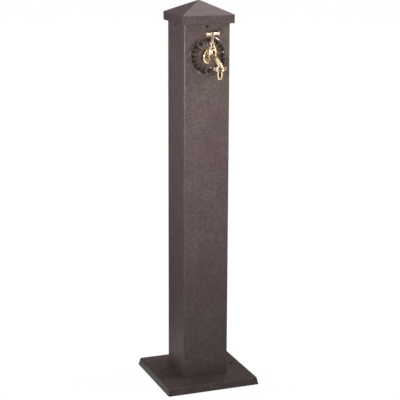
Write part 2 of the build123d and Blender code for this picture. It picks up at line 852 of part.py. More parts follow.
# Spindle: socket for the jumper's stem, screw, plain stem and square tang
spindle_low = disc_top + face_gap
spindle_shoulder = thread_bore_top - valve_lift - soft_gap
tang_low = handle_low + tang_start
with BuildPart() as spindle:
    with BuildSketch(valve_side):
        with BuildLine():
            Polyline(
                (0, spindle_low),
                (spindle_radius, spindle_low),
                (spindle_radius, spindle_shoulder - spindle_edge),
                (spindle_radius - spindle_edge, spindle_shoulder),
                (stem_radius, spindle_shoulder),
                (stem_radius, tang_low),
                (0, tang_low),
                close=True,
            )
        make_face()
    revolve(axis=valve_axis)
    with BuildSketch(valve_level(spindle_low)):
        Circle(jumper_stem_radius + running_gap)
    extrude(amount=jumper_stem + face_gap, mode=Mode.SUBTRACT)
    with BuildSketch(valve_level(tang_low)):
        Rectangle(tang_flats, tang_flats, rotation=handle_angle)
    extrude(amount=tang_height)
    with BuildSketch(valve_level(tang_low)):
        Circle(handle_screw_radius + screw_gap)
    extrude(amount=tang_height, mode=Mode.SUBTRACT)
save(spindle, "spindle")

# T-handle: two waisted arms that flare to fishtail ends, on a round hub
arm_way = Vector(cos(radians(handle_angle)), sin(radians(handle_angle)), 0)
hub_middle = Vector(0, valve_y, handle_middle)
half_span = handle_span / 2
handle_screw_seat = handle_top - handle_screw_head_height
with BuildPart() as tee_handle:
    with BuildSketch(valve_level(handle_low)):
        Circle(handle_hub_radius)
    extrude(amount=handle_height)
    chamfer(tee_handle.faces().sort_by(Axis.Z)[-1].edges(), hub_edge)
    for way in (1, -1):
        for along, height_share, depth_share in handle_arm_shares:
            with BuildSketch(Plane(hub_middle + arm_way * (along * half_span * way), (0, 0, 1), arm_way * way)):
                Ellipse(height_share * handle_height / 2, depth_share * handle_depth / 2)
        loft()
    across_way = Vector(-arm_way.Y, arm_way.X, 0)
    for way in (1, -1):
        notch = hub_middle + arm_way * ((half_span + fishtail_radius - fishtail_bite) * way)
        with BuildSketch(Plane(notch - across_way * handle_depth, (0, 0, 1), across_way)):
            Circle(fishtail_radius)
        extrude(amount=2 * handle_depth, mode=Mode.SUBTRACT)
    with BuildSketch(valve_level(handle_low)):
        Circle(stem_radius + screw_gap)
    extrude(amount=tang_start, mode=Mode.SUBTRACT)
    with BuildSketch(valve_level(tang_low)):
        Rectangle(tang_flats + 2 * screw_gap, tang_flats + 2 * screw_gap, rotation=handle_angle)
    extrude(amount=tang_height + tang_gap, mode=Mode.SUBTRACT)
    with BuildSketch(valve_level(handle_low)):
        Circle(handle_screw_radius + screw_gap)
    extrude(amount=handle_height, mode=Mode.SUBTRACT)
    with BuildSketch(valve_level(handle_screw_seat)):
        Circle(handle_screw_head_radius + soft_gap)
    extrude(amount=handle_height, mode=Mode.SUBTRACT)
save(tee_handle, "tee_handle")

with BuildPart() as handle_screw:
    with Locations((0, valve_y, handle_screw_seat)):
        add(
            round_head_screw(
                handle_screw_head_radius, handle_screw_head_height, handle_screw_radius, handle_screw_length
            )
        )
save(handle_screw, "handle_screw")

# Outlet gasket, hose tail and winged union nut
gasket_low = outlet_face - outlet_gasket_thickness
tail_flange_low = gasket_low - tail_flange
nut_low = tail_flange_low - face_gap - nut_lip
with BuildPart() as outlet_gasket:
    with BuildSketch(outlet_level(gasket_low)):
        Circle(tail_flange_radius)
        Circle(spout_bore_end, mode=Mode.SUBTRACT)
    extrude(amount=outlet_gasket_thickness)
save(outlet_gasket, "outlet_gasket")

hose_end = gasket_low - tail_flange - hose_tail_length
ridge_top = tail_flange_low - hose_root - hose_plain
with BuildPart() as hose_tail:
    with BuildSketch(outlet_side):
        with BuildLine():
            Polyline(
                (hose_bore_radius, gasket_low),
                (tail_flange_radius, gasket_low),
                (tail_flange_radius, tail_flange_low),
                (hose_root_radius, tail_flange_low),
                (hose_root_radius, tail_flange_low - hose_root),
                (hose_radius, tail_flange_low - hose_root),
                (hose_radius, ridge_top),
                (hose_root_radius, ridge_top),
                (hose_root_radius, ridge_top - hose_groove),
                (hose_radius, ridge_top - hose_groove),
                (hose_tip_radius, hose_end),
                (hose_bore_radius, hose_end),
                close=True,
            )
        make_face()
    revolve(axis=outlet_axis)
save(hose_tail, "hose_tail")

with BuildPart() as union_nut:
    with BuildSketch(outlet_side):
        with BuildLine():
            Polyline(
                (0, nut_low),
                (nut_radius - nut_edge, nut_low),
                (nut_radius, nut_low + nut_edge),
                (nut_radius, nut_low + nut_height - nut_edge),
                (nut_radius - nut_edge, nut_low + nut_height),
                (0, nut_low + nut_height),
                close=True,
            )
        make_face()
    revolve(axis=outlet_axis)
    with BuildSketch(outlet_side.offset(-wing_thickness / 2)):
        with Locations((0, nut_low + nut_height / 2)):
            RectangleRounded(wing_span, wing_height, wing_corner)
    extrude(amount=wing_thickness)
    with BuildSketch(outlet_level(nut_low)):
        Circle(hose_radius + soft_gap)
    extrude(amount=nut_lip, mode=Mode.SUBTRACT)
    with BuildSketch(outlet_level(nut_low + nut_lip)):
        Circle(half_inch_radius + thread_gap)
    extrude(amount=nut_height, mode=Mode.SUBTRACT)
save(union_nut, "union_nut")

# Inside the column: the tap's backing washer and locknut
with BuildPart() as backing_washer:
    with BuildSketch(front.offset(-column_wall - backing_thickness)):
        Circle(backing_radius)
        Circle(half_inch_radius + hole_gap, mode=Mode.SUBTRACT)
    extrude(amount=backing_thickness)
save(backing_washer, "backing_washer")

locknut_start = column_wall + backing_thickness + locknut_height
with BuildPart() as tap_locknut:
    add(hexagon(front.offset(-locknut_start), locknut_flats, locknut_height, half_inch_radius + thread_gap))
save(tap_locknut, "tap_locknut")

# Riser pipe between two elbows, each with its nut and olive
upper_corner = (0, riser_y, tap_height)
lower_corner = (0, riser_y, inlet_height)
upper_leg_end = tap_height - elbow_leg
lower_leg_end = inlet_height + elbow_leg
with BuildPart() as supply_elbow:
    add(pipe_elbow(upper_corner, (0, -1, 0), (0, 0, -1)))
save(supply_elbow, "supply_elbow")

with BuildPart() as upper_pipe_nut:
    add(pipe_nut(upper_leg_end - pipe_nut_drop, 1))
save(upper_pipe_nut, "upper_pipe_nut")

with BuildPart() as upper_olive:
    add(olive(upper_leg_end - olive_height))
save(upper_olive, "upper_olive")

pipe_low = lower_leg_end - elbow_pipe_socket
pipe_top = upper_leg_end + elbow_pipe_socket
with BuildPart() as riser_pipe:
    with BuildSketch(riser_level(pipe_low)):
        Circle(riser_radius)
        Circle(riser_radius - riser_wall, mode=Mode.SUBTRACT)
    extrude(amount=pipe_top - pipe_low)
save(riser_pipe, "riser_pipe")

with BuildPart() as lower_olive:
    add(olive(lower_leg_end))
save(lower_olive, "lower_olive")

with BuildPart() as lower_pipe_nut:
    add(pipe_nut(lower_leg_end + pipe_nut_drop, -1))
save(lower_pipe_nut, "lower_pipe_nut")

with BuildPart() as inlet_elbow:
    add(pipe_elbow(lower_corner, (0, 1, 0), (0, 0, 1)))
save(inlet_elbow, "inlet_elbow")

# Supply inlet: a nipple through the rear wall, sealed outside and locked inside
nipple_start = riser_y + elbow_socket - elbow_thread
nipple_inside = half_column - nipple_start
with BuildPart() as inlet_nipple:
    with BuildSketch(inlet_back.offset(-nipple_inside)):
        Circle(half_inch_radius)
    extrude(amount=nipple_inside + inlet_seal + inlet_flange + inlet_thread)
    add(hexagon(inlet_back.offset(inlet_seal), inlet_flange_flats, inlet_flange, inlet_bore))
    with BuildSketch(inlet_back.offset(-nipple_inside)):
        Circle(inlet_bore)
    extrude(amount=nipple_inside + inlet_seal + inlet_flange + inlet_thread, mode=Mode.SUBTRACT)
save(inlet_nipple, "inlet_nipple")

with BuildPart() as inlet_washer:
    with BuildSketch(inlet_back):
        Circle(inlet_seal_radius)
        Circle(half_inch_radius + hole_gap, mode=Mode.SUBTRACT)
    extrude(amount=inlet_seal)
save(inlet_washer, "inlet_washer")

with BuildPart() as inlet_locknut:
    add(
        hexagon(
            inlet_back.offset(-column_wall - locknut_height),
            locknut_flats,
            locknut_height,
            half_inch_radius + thread_gap,
        )
    )
save(inlet_locknut, "inlet_locknut")
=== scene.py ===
import json
import math
import bmesh
import bpy
from mathutils import Matrix, Vector


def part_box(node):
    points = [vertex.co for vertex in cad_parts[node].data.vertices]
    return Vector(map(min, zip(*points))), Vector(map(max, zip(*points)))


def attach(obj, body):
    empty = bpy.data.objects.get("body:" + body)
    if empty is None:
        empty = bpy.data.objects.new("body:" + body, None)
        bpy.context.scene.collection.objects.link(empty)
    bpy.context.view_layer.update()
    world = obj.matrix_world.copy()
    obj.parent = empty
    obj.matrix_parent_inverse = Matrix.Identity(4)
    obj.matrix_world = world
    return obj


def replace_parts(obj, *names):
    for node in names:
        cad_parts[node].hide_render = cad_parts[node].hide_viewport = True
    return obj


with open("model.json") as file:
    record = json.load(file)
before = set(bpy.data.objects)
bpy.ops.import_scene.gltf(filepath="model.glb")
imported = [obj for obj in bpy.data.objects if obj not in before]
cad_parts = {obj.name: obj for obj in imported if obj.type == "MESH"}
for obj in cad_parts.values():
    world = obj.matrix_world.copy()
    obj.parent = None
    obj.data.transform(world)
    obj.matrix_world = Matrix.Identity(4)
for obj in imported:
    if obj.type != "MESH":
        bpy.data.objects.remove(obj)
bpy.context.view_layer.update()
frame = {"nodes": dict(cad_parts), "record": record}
nodes = frame["nodes"]
print("frame loaded:", len(nodes), "nodes")

rosetteMiddle = (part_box("rosette")[0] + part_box("rosette")[1]) / 2
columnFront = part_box("rosette")[1].y


# Millimetres as metres
def mm(value):
    return value / 1000


# Metres as millimetres
def inMm(length):
    return length * 1000


# Camera, fitted to the edges of the column, the cap and the foot
camera = {
    "place": (-1.1526, -3.01673, 1.27275),  # metres
    "yaw": 21.0011,  # degrees from +Y towards +X
    "pitch": -13.9145,
    "roll": 0.2474,
    "lens": 117.21,  # millimetres, on the sensor below
    "sensor": 36,
    "nearest": 0.05,  # metres
}


def placeCamera():
    yaw, pitch, roll = (math.radians(camera[key]) for key in ("yaw", "pitch", "roll"))
    forward = Vector((math.sin(yaw) * math.cos(pitch), math.cos(yaw) * math.cos(pitch), math.sin(pitch)))
    level = Vector((math.cos(yaw), -math.sin(yaw), 0))
    upright = level.cross(forward)
    right = level * math.cos(roll) + upright * math.sin(roll)
    up = upright * math.cos(roll) - level * math.sin(roll)
    data = bpy.data.cameras.new("camera")
    data.lens = camera["lens"]
    data.sensor_width = camera["sensor"]
    data.clip_start = camera["nearest"]
    obj = bpy.data.objects.new("camera", data)
    turn = Matrix((right, up, -forward)).transposed().to_4x4()
    obj.matrix_world = Matrix.Translation(camera["place"]) @ turn
    bpy.context.scene.collection.objects.link(obj)
    bpy.context.scene.camera = obj


placeCamera()
bpy.context.scene.view_settings.view_transform = "Standard"
print("camera placed")


# Node helpers that the studio and every finish use
def emptyTree(owner):
    owner.use_nodes = True
    owner.node_tree.nodes.clear()
    return owner.node_tree


def newFinish(name):
    material = bpy.data.materials.new(name)
    tree = emptyTree(material)
    output = tree.nodes.new("ShaderNodeOutputMaterial")
    surface = tree.nodes.new("ShaderNodeBsdfPrincipled")
    tree.links.new(surface.outputs[0], output.inputs["Surface"])
    return material, tree, surface


def mathNode(tree, operation, first, second):
    node = tree.nodes.new("ShaderNodeMath")
    node.operation = operation
    tree.links.new(first, node.inputs[0])
    tree.links.new(second, node.inputs[1])
    return node.outputs[0]


# The second input is another socket, a fixed vector or nothing
def vectorNode(tree, operation, first, second=None):
    node = tree.nodes.new("ShaderNodeVectorMath")
    node.operation = operation
    tree.links.new(first, node.inputs[0])
    if isinstance(second, Vector):
        node.inputs[1].default_value = second
    elif second is not None:
        tree.links.new(second, node.inputs[1])
    return node.outputs["Value" if operation in ("DOT_PRODUCT", "LENGTH") else "Vector"]


def largest(tree, values):
    top = values[0]
    for value in values[1:]:
        top = mathNode(tree, "MAXIMUM", top, value)
    return top


def objectPlace(tree):
    return tree.nodes.new("ShaderNodeTexCoord").outputs["Object"]


def mappedPlace(tree, stretch, centre):
    mapping = tree.nodes.new("ShaderNodeMapping")
    mapping.inputs["Scale"].default_value = stretch
    mapping.inputs["Location"].default_value = centre
    tree.links.new(objectPlace(tree), mapping.inputs["Vector"])
    return mapping.outputs[0]


def noise(tree, scale, detail, stretch=(1, 1, 1), centre=(0, 0, 0)):
    texture = tree.nodes.new("ShaderNodeTexNoise")
    texture.inputs["Scale"].default_value = scale
    texture.inputs["Detail"].default_value = detail
    tree.links.new(mappedPlace(tree, stretch, centre), texture.inputs["Vector"])
    return texture.outputs["Fac"]


def ramp(tree, source, low, high, start=0.0, end=1.0):
    node = tree.nodes.new("ShaderNodeMapRange")
    node.inputs["From Min"].default_value = low
    node.inputs["From Max"].default_value = high
    node.inputs["To Min"].default_value = start
    node.inputs["To Max"].default_value = end
    tree.links.new(source, node.inputs["Value"])
    return node.outputs[0]


# Patches of noise, given as its scale, its detail, and the two values between which it rises
def patches(tree, pattern, start=0.0, end=1.0, stretch=(1, 1, 1), centre=(0, 0, 0)):
    scale, detail, low, high = pattern
    return ramp(tree, noise(tree, scale, detail, stretch, centre), low, high, start, end)


def blendColour(tree, share, first, second):
    node = tree.nodes.new("ShaderNodeMix")
    node.data_type = "RGBA"
    if isinstance(share, float):
        node.inputs["Factor"].default_value = share
    else:
        tree.links.new(share, node.inputs["Factor"])
    for socket, colour in ((node.inputs["A"], first), (node.inputs["B"], second)):
        if isinstance(colour, tuple):
            socket.default_value = colour + (1,)
        else:
            tree.links.new(colour, socket)
    return node.outputs["Result"]


def scaledTone(colour, share):
    return tuple(value * share for value in colour)


# Bump from noise, given as its scale, its detail, the depth in metres and the strength
def relief(tree, pattern, below=None, stretch=(1, 1, 1)):
    scale, detail, depth, strength = pattern
    node = tree.nodes.new("ShaderNodeBump")
    node.inputs["Strength"].default_value = strength
    node.inputs["Distance"].default_value = depth
    tree.links.new(noise(tree, scale, detail, stretch), node.inputs["Height"])
    if below is not None:
        tree.links.new(below, node.inputs["Normal"])
    return node.outputs[0]


def softEdge(tree, radius):
    node = tree.nodes.new("ShaderNodeBevel")
    node.samples = 4
    node.inputs["Radius"].default_value = radius
    return node.outputs[0]


# How far a surface is bent by its soft edge: 0 on the flat, the given most on a sharp edge
def edgeShare(tree, soft, gain, most):
    face = tree.nodes.new("ShaderNodeNewGeometry")
    along = vectorNode(tree, "DOT_PRODUCT", soft, face.outputs["Normal"])
    return ramp(tree, along, 1.0, 1.0 - gain, 0.0, most)


# Studio: white surroundings, a floor that keeps the shadow, soft boxes
studio = {
    "ambient": 0.15,  # what the white surroundings give as light
    "ambientColour": (1.0, 0.97, 0.95, 1),
    "floorRadius": 9.0,
    "floorSides": 96,
    "floorGlow": (0.955, 1.0),  # the floor's own white near the foot and far from it
    "floorFade": (0.2, 0.8),  # metres from the post between which that white rises
    "floorTone": 0.16,  # as the camera sees it
    "floorBounce": 0.22,  # as it lights the post from below
    # What metal mirrors: white walls left, right and above, each as its direction and its fading angles,
    # a dim room between them, and a dark side round the camera
    "whiteWalls": (
        ((-0.95, -0.20, 0.05), 58, 46),
        ((0.80, -0.55, 0.05), 44, 32),
        ((0.0, -0.10, 1.0), 58, 44),
    ),
    "whiteFloor": ((-0.42, -0.36, -0.83), 52, 36),
    "dimRoom": (0.17, 0.125, 0.14),
    "darkSide": ((-0.362, -0.923, 0.132), 51, 41),
    "darkTone": (0.020, 0.016, 0.013),
    "boxes": (
        # name, place, aim, size, watts, spread in degrees, colour, whether metal mirrors it
        ("keyBox", (-0.68, -1.40, 0.86), (0.0, 0.0, 0.72), 0.5, 2.45, 60, (1.0, 0.97, 0.97), False),
        ("leftBox", (-1.70, -0.40, 0.98), (0.0, 0.0, 1.00), 0.5, 0.90, 70, (1.0, 0.86, 0.96), True),
        ("backBox", (1.25, 1.45, 0.50), (0.0, 0.0, 0.50), 0.7, 2.20, 60, (1.0, 0.97, 0.96), False),
        ("topBox", (1.70, -0.25, 2.25), (0.0, 0.0, 1.00), 0.5, 4.20, 34, (1.0, 0.97, 0.99), True),
    ),
}


# How near a direction comes to an axis: 0 past the wide angle, 1 inside the narrow one
def towards(tree, way, axis, wide, narrow):
    along = vectorNode(tree, "DOT_PRODUCT", way, Vector(axis).normalized())
    return ramp(tree, along, math.cos(math.radians(wide)), math.cos(math.radians(narrow)))


def mirroredRoom(tree, way, extraWhite=()):
    walls = [towards(tree, way, *wall) for wall in studio["whiteWalls"]] + list(extraWhite)
    room = blendColour(tree, largest(tree, walls), studio["dimRoom"], (1.0, 1.0, 1.0))
    return blendColour(tree, towards(tree, way, *studio["darkSide"]), room, studio["darkTone"])


def mixByRay(tree, rays, usual, chosen):
    path = tree.nodes.new("ShaderNodeLightPath")
    mix = tree.nodes.new("ShaderNodeMixShader")
    tree.links.new(largest(tree, [path.outputs[ray] for ray in rays]), mix.inputs[0])
    tree.links.new(usual.outputs[0], mix.inputs[1])
    tree.links.new(chosen.outputs[0], mix.inputs[2])
    return mix


# Light for plain rays, the mirrored room for glossy ones, white for the camera
def shadeByRay(tree, output, plain, mirrored, seen):
    shine = mixByRay(tree, ("Is Glossy Ray", "Is Transmission Ray"), plain, mirrored)
    tree.links.new(mixByRay(tree, ("Is Camera Ray",), shine, seen).outputs[0], output.inputs["Surface"])


def buildWorld():
    world = bpy.data.worlds.new("studioWorld")
    tree = emptyTree(world)
    output = tree.nodes.new("ShaderNodeOutputWorld")
    dim, room, white = (tree.nodes.new("ShaderNodeBackground") for _ in range(3))
    dim.inputs["Color"].default_value = studio["ambientColour"]
    dim.inputs["Strength"].default_value = studio["ambient"]
    white.inputs["Color"].default_value = (1, 1, 1, 1)
    way = tree.nodes.new("ShaderNodeTexCoord").outputs["Generated"]
    tree.links.new(mirroredRoom(tree, way), room.inputs["Color"])
    shadeByRay(tree, output, dim, room, white)
    bpy.context.scene.world = world


def floorFinish():
    material = bpy.data.materials.new("paleFloor")
    tree = emptyTree(material)
    output = tree.nodes.new("ShaderNodeOutputMaterial")
    plain, shaded = (tree.nodes.new("ShaderNodeBsdfDiffuse") for _ in range(2))
    plain.inputs["Color"].default_value = (studio["floorBounce"],) * 3 + (1,)
    shaded.inputs["Color"].default_value = (studio["floorTone"],) * 3 + (1,)
    glow, mirrored = (tree.nodes.new("ShaderNodeEmission") for _ in range(2))
    place = objectPlace(tree)
    reach = vectorNode(tree, "LENGTH", place)
    white = ramp(tree, reach, *studio["floorFade"], *studio["floorGlow"])
    tree.links.new(white, glow.inputs["Strength"])
    seen = tree.nodes.new("ShaderNodeAddShader")
    tree.links.new(shaded.outputs[0], seen.inputs[0])
    tree.links.new(glow.outputs[0], seen.inputs[1])
    # The direction in which the tap sees this spot of the floor
    way = vectorNode(tree, "NORMALIZE", vectorNode(tree, "SUBTRACT", place, rosetteMiddle))
    below = towards(tree, way, *studio["whiteFloor"])
    tree.links.new(mirroredRoom(tree, way, [below]), mirrored.inputs["Color"])
    shadeByRay(tree, output, plain, mirrored, seen)
    return material


def buildFloor():
    mesh = bpy.data.meshes.new("floor")
    disc = bmesh.new()
    sides, radius = studio["floorSides"], studio["floorRadius"]
    bmesh.ops.create_circle(disc, cap_ends=True, segments=sides, radius=radius)
    disc.to_mesh(mesh)
    disc.free()
    mesh.materials.append(floorFinish())
    floor = bpy.data.objects.new("floor", mesh)
    bpy.context.scene.collection.objects.link(floor)


def buildLights():
    for name, place, aim, size, watts, spread, colour, mirrored in studio["boxes"]:
        data = bpy.data.lights.new(name, "AREA")
        data.shape = "SQUARE"
        data.size = size
        data.energy = watts
        data.spread = math.radians(spread)
        data.color = colour
        lamp = bpy.data.objects.new(name, data)
        lamp.visible_glossy = mirrored
        way = Vector(aim) - Vector(place)
        lamp.matrix_world = Matrix.Translation(place) @ way.to_track_quat("-Z", "Y").to_matrix().to_4x4()
        bpy.context.scene.collection.objects.link(lamp)


buildWorld()
buildFloor()
buildLights()
print("studio built")


paint = {
    "column": ((0.136, 0.103, 0.098), (0.189, 0.151, 0.142)),  # dark and pale tone
    "cap": ((0.104, 0.080, 0.081), (0.144, 0.116, 0.115)),
    "foot": ((0.114, 0.083, 0.080), (0.171, 0.134, 0.126)),
    "grainTones": (0.72, 1.18),  # of the dark and of the pale tone
    # grain to wear: noise as patches() takes it; peel and waves: as relief() takes it
    "grain": (620, 5.0, 0.30, 0.70),
    "grainShare": 0.38,
    "clouds": (26, 4.0, 0.32, 0.68),
    "mottle": (210, 4.0, 0.40, 0.60),
    "mottleShare": 0.75,
    "streaks": (210, 3.0, 0.30, 0.70),
    "streakStretch": (1, 1, 0.03),
    "streakShare": 0.22,
    "wine": (9, 2.0, 0.52, 0.75),
    "wineTone": (0.118, 0.064, 0.076),
    "wineShare": 0.30,
    "wear": (140, 4.0, 0.42, 0.62),
    "wearRange": (0.25, 1.0),
    # lighter tone on the edges: wear and a painted highlight
    "wornAndHighlightTone": (0.30, 0.25, 0.23),
    "wornAndHighlightEdge": (0.12, 0.55),  # how bent the surface is where the edge is lightened, and the most of it
    "corner": (0.0573, 0.0588),  # metres from the column's middle between which a corner gets the painted highlight
    "cornerHighlightHeight": (0.52, 0.84),  # metres above the ground between which that begins
    # the painted highlight's lighter tone on the column's upper corners
    "cornerHighlightTone": (0.34, 0.29, 0.285),
    "roughness": (0.40, 0.58),
    "gloss": 0.36,
    "edgeRadius": 0.0012,  # metres
    "peel": (900, 4.0, 0.00022, 0.55),
    "waves": (60, 2.0, 0.0007, 0.25),
}


# Painted highlight: how much a point lies on one of the column's four corners, fading towards the foot
def cornerHighlightShare(tree):
    split = tree.nodes.new("ShaderNodeSeparateXYZ")
    tree.links.new(vectorNode(tree, "ABSOLUTE", objectPlace(tree)), split.inputs[0])
    nearer = mathNode(tree, "MINIMUM", split.outputs["X"], split.outputs["Y"])
    corner = ramp(tree, nearer, *paint["corner"])
    upper = ramp(tree, split.outputs["Z"], *paint["cornerHighlightHeight"])
    return mathNode(tree, "MULTIPLY", corner, upper)


# Satin powder coat: fine mottling, slow clouds, faint upright streaks, edges lighter in patches as wear and
# as a painted highlight, and on the column a painted highlight on the upper corners
def paintFinish(name, tones, corners=False):
    material, tree, surface = newFinish(name)
    dark, pale = tones
    darkest, palest = (scaledTone(tone, share) for tone, share in zip(tones, paint["grainTones"]))
    fine = patches(tree, paint["grain"])
    colour = blendColour(tree, patches(tree, paint["clouds"]), dark, pale)
    colour = blendColour(tree, paint["grainShare"], colour, blendColour(tree, fine, darkest, palest))
    mottle = patches(tree, paint["mottle"], end=paint["mottleShare"], centre=(0.1, 0.5, 0.2))
    colour = blendColour(tree, mottle, colour, darkest)
    streaks = patches(tree, paint["streaks"], end=paint["streakShare"], stretch=paint["streakStretch"])
    colour = blendColour(tree, streaks, colour, darkest)
    wine = patches(tree, paint["wine"], end=paint["wineShare"], centre=(0.3, 0.1, 0.7))
    colour = blendColour(tree, wine, colour, paint["wineTone"])
    soft = softEdge(tree, paint["edgeRadius"])
    patchy = patches(tree, paint["wear"], *paint["wearRange"])
    # Edges lighter in patches: wear, and a painted highlight along them
    wornAndHighlit = mathNode(tree, "MULTIPLY", edgeShare(tree, soft, *paint["wornAndHighlightEdge"]), patchy)
    colour = blendColour(tree, wornAndHighlit, colour, paint["wornAndHighlightTone"])
    # Painted highlight on the column's upper corners, broken up by the wear patches
    if corners:
        rubbedAndHighlit = mathNode(tree, "MULTIPLY", cornerHighlightShare(tree), patchy)
        colour = blendColour(tree, rubbedAndHighlit, colour, paint["cornerHighlightTone"])
    tree.links.new(colour, surface.inputs["Base Color"])
    low, high = paint["roughness"]
    tree.links.new(ramp(tree, fine, 0, 1, high, low), surface.inputs["Roughness"])
    surface.inputs["Specular IOR Level"].default_value = paint["gloss"]
    peel = relief(tree, paint["peel"], soft)
    tree.links.new(relief(tree, paint["waves"], peel), surface.inputs["Normal"])
    return material


brass = {
    # dark and pale tone, roughness, ripples
    "polished": ((0.88, 0.67, 0.44), (0.97, 0.80, 0.59), (0.09, 0.20), (260, 2.0, 0.00016, 0.5)),
    "turned": ((0.62, 0.44, 0.20), (0.78, 0.58, 0.30), (0.28, 0.42), (260, 2.0, 0.00008, 0.5)),
    "clouds": (85, 4.0, 0.30, 0.70),
    "tarnish": (240, 5.0, 0.60, 0.80),
    "tarnishTone": 0.55,  # of the dark tone
    "tarnishShare": 0.35,
    "scuffs": (900, 4.0, 0.30, 0.72),
    "scuffStretch": (1, 1, 0.25),
    "edgeRadius": 0.0004,
    "polish": (2400, 2.0, 0.00003, 0.35),
}


# Cast brass, buffed by hand: soft ripples, faint scuffs, a little tarnish
def brassFinish(name, kind):
    dark, pale, roughness, ripples = brass[kind]
    material, tree, surface = newFinish(name)
    colour = blendColour(tree, patches(tree, brass["clouds"]), dark, pale)
    tarnish = patches(tree, brass["tarnish"], end=brass["tarnishShare"], centre=(0.2, 0.4, 0.1))
    colour = blendColour(tree, tarnish, colour, scaledTone(dark, brass["tarnishTone"]))
    tree.links.new(colour, surface.inputs["Base Color"])
    surface.inputs["Metallic"].default_value = 1.0
    scuffs = patches(tree, brass["scuffs"], *roughness, stretch=brass["scuffStretch"])
    tree.links.new(scuffs, surface.inputs["Roughness"])
    rippled = relief(tree, ripples, softEdge(tree, brass["edgeRadius"]))
    tree.links.new(relief(tree, brass["polish"], rippled), surface.inputs["Normal"])
    return material


plainMetals = {
    # dark and pale tone, roughness
    "zincSteel": ((0.50, 0.50, 0.49), (0.70, 0.70, 0.68), (0.30, 0.48)),
    "mildSteel": ((0.24, 0.22, 0.21), (0.40, 0.38, 0.36), (0.40, 0.60)),
    "copperPipe": ((0.62, 0.31, 0.19), (0.80, 0.48, 0.33), (0.22, 0.40)),
    "clouds": (120, 5.0, 0.32, 0.68),
    "dull": (500, 4.0, 0.3, 0.7),
    "edgeRadius": 0.0003,
    "drawn": (700, 3.0, 0.00006, 0.5),
    "drawnStretch": (1, 1, 0.15),
}


def metalFinish(name):
    dark, pale, roughness = plainMetals[name]
    material, tree, surface = newFinish(name)
    colour = blendColour(tree, patches(tree, plainMetals["clouds"]), dark, pale)
    tree.links.new(colour, surface.inputs["Base Color"])
    surface.inputs["Metallic"].default_value = 1.0
    tree.links.new(patches(tree, plainMetals["dull"], *roughness), surface.inputs["Roughness"])
    soft = softEdge(tree, plainMetals["edgeRadius"])
    drawn = relief(tree, plainMetals["drawn"], soft, stretch=plainMetals["drawnStretch"])
    tree.links.new(drawn, surface.inputs["Normal"])
    return material


patinaAndShade = {
    "clouds": (95, 5.0, 0.30, 0.70),
    "low": (0.070, 0.047, 0.040),
    "high": (0.225, 0.162, 0.138),
    # painted shade: the tone of the grooves and of what lies near the column's face
    "deep": (0.022, 0.014, 0.012),
    "depth": (2.4, 5.6),  # millimetres above the column's face between which the painted shade in the grooves thins out
    "edgeRadius": 0.0008,
    # lighter tone on the bent edges of the flutes: rubbed wear and a painted highlight
    "rubbedAndHighlit": (0.50, 0.38, 0.30),
    "rubbedEdge": (0.16, 0.6),  # how bent the surface is where it is lightened, and the most of it
    "rim": (45.8, 47.0),  # millimetres from the middle between which the bare rim begins
    "rimWear": (160, 4.0, 0.36, 0.60),
    "rimRange": (0.45, 1.0),
    "rimTone": (0.27, 0.21, 0.19),
    "rimShare": 0.85,
    "metallic": (0.45, 0.95),
    "dull": (420, 4.0, 0.3, 0.7),
    "roughness": (0.24, 0.42),
    "rimRoughness": 0.5,  # of the roughness elsewhere
    "cast": (520, 4.0, 0.0002, 0.5),
}


# Dark casting with painted shade in the grooves and near the column's face, its bent edges lighter as
# rubbed wear and a painted highlight, and a bare rim
def rosetteFinish():
    material, tree, surface = newFinish("rosettePatinaAndShade")
    colour = blendColour(tree, patches(tree, patinaAndShade["clouds"]), patinaAndShade["low"], patinaAndShade["high"])
    split = tree.nodes.new("ShaderNodeSeparateXYZ")
    tree.links.new(objectPlace(tree), split.inputs[0])
    # Painted shade: the colour darkens towards the column's face, so the grooves turn dark
    bottom, top = (columnFront - mm(value) for value in patinaAndShade["depth"])
    colour = blendColour(tree, ramp(tree, split.outputs["Y"], bottom, top), patinaAndShade["deep"], colour)
    soft = softEdge(tree, patinaAndShade["edgeRadius"])
    # Bent edges lighter: rubbed wear and a painted highlight
    rubbedAndHighlit = edgeShare(tree, soft, *patinaAndShade["rubbedEdge"])
    colour = blendColour(tree, rubbedAndHighlit, colour, patinaAndShade["rubbedAndHighlit"])
    centred = mappedPlace(tree, (1, 0, 1), (-rosetteMiddle.x, 0, -rosetteMiddle.z))
    rim = ramp(tree, vectorNode(tree, "LENGTH", centred), *(mm(value) for value in patinaAndShade["rim"]))
    bare = mathNode(tree, "MULTIPLY", rim, patches(tree, patinaAndShade["rimWear"], *patinaAndShade["rimRange"]))
    colour = blendColour(tree, ramp(tree, bare, 0, 1, 0.0, patinaAndShade["rimShare"]), colour, patinaAndShade["rimTone"])
    tree.links.new(colour, surface.inputs["Base Color"])
    tree.links.new(ramp(tree, bare, 0, 1, *patinaAndShade["metallic"]), surface.inputs["Metallic"])
    dull = patches(tree, patinaAndShade["dull"], *patinaAndShade["roughness"])
    smoother = ramp(tree, rim, 0, 1, 1.0, patinaAndShade["rimRoughness"])
    tree.links.new(mathNode(tree, "MULTIPLY", dull, smoother), surface.inputs["Roughness"])
    tree.links.new(relief(tree, patinaAndShade["cast"], soft), surface.inputs["Normal"])
    return material


darkScrew = {
    "tones": ((0.030, 0.025, 0.024), (0.075, 0.064, 0.060)),
    "clouds": (300, 4.0, 0.32, 0.68),
    "metallic": 0.5,
    "dull": (900, 3.0, 0.3, 0.7),
    "roughness": (0.32, 0.5),
    "edgeRadius": 0.0003,
    "blacking": (800, 3.0, 0.0001, 0.4),
}


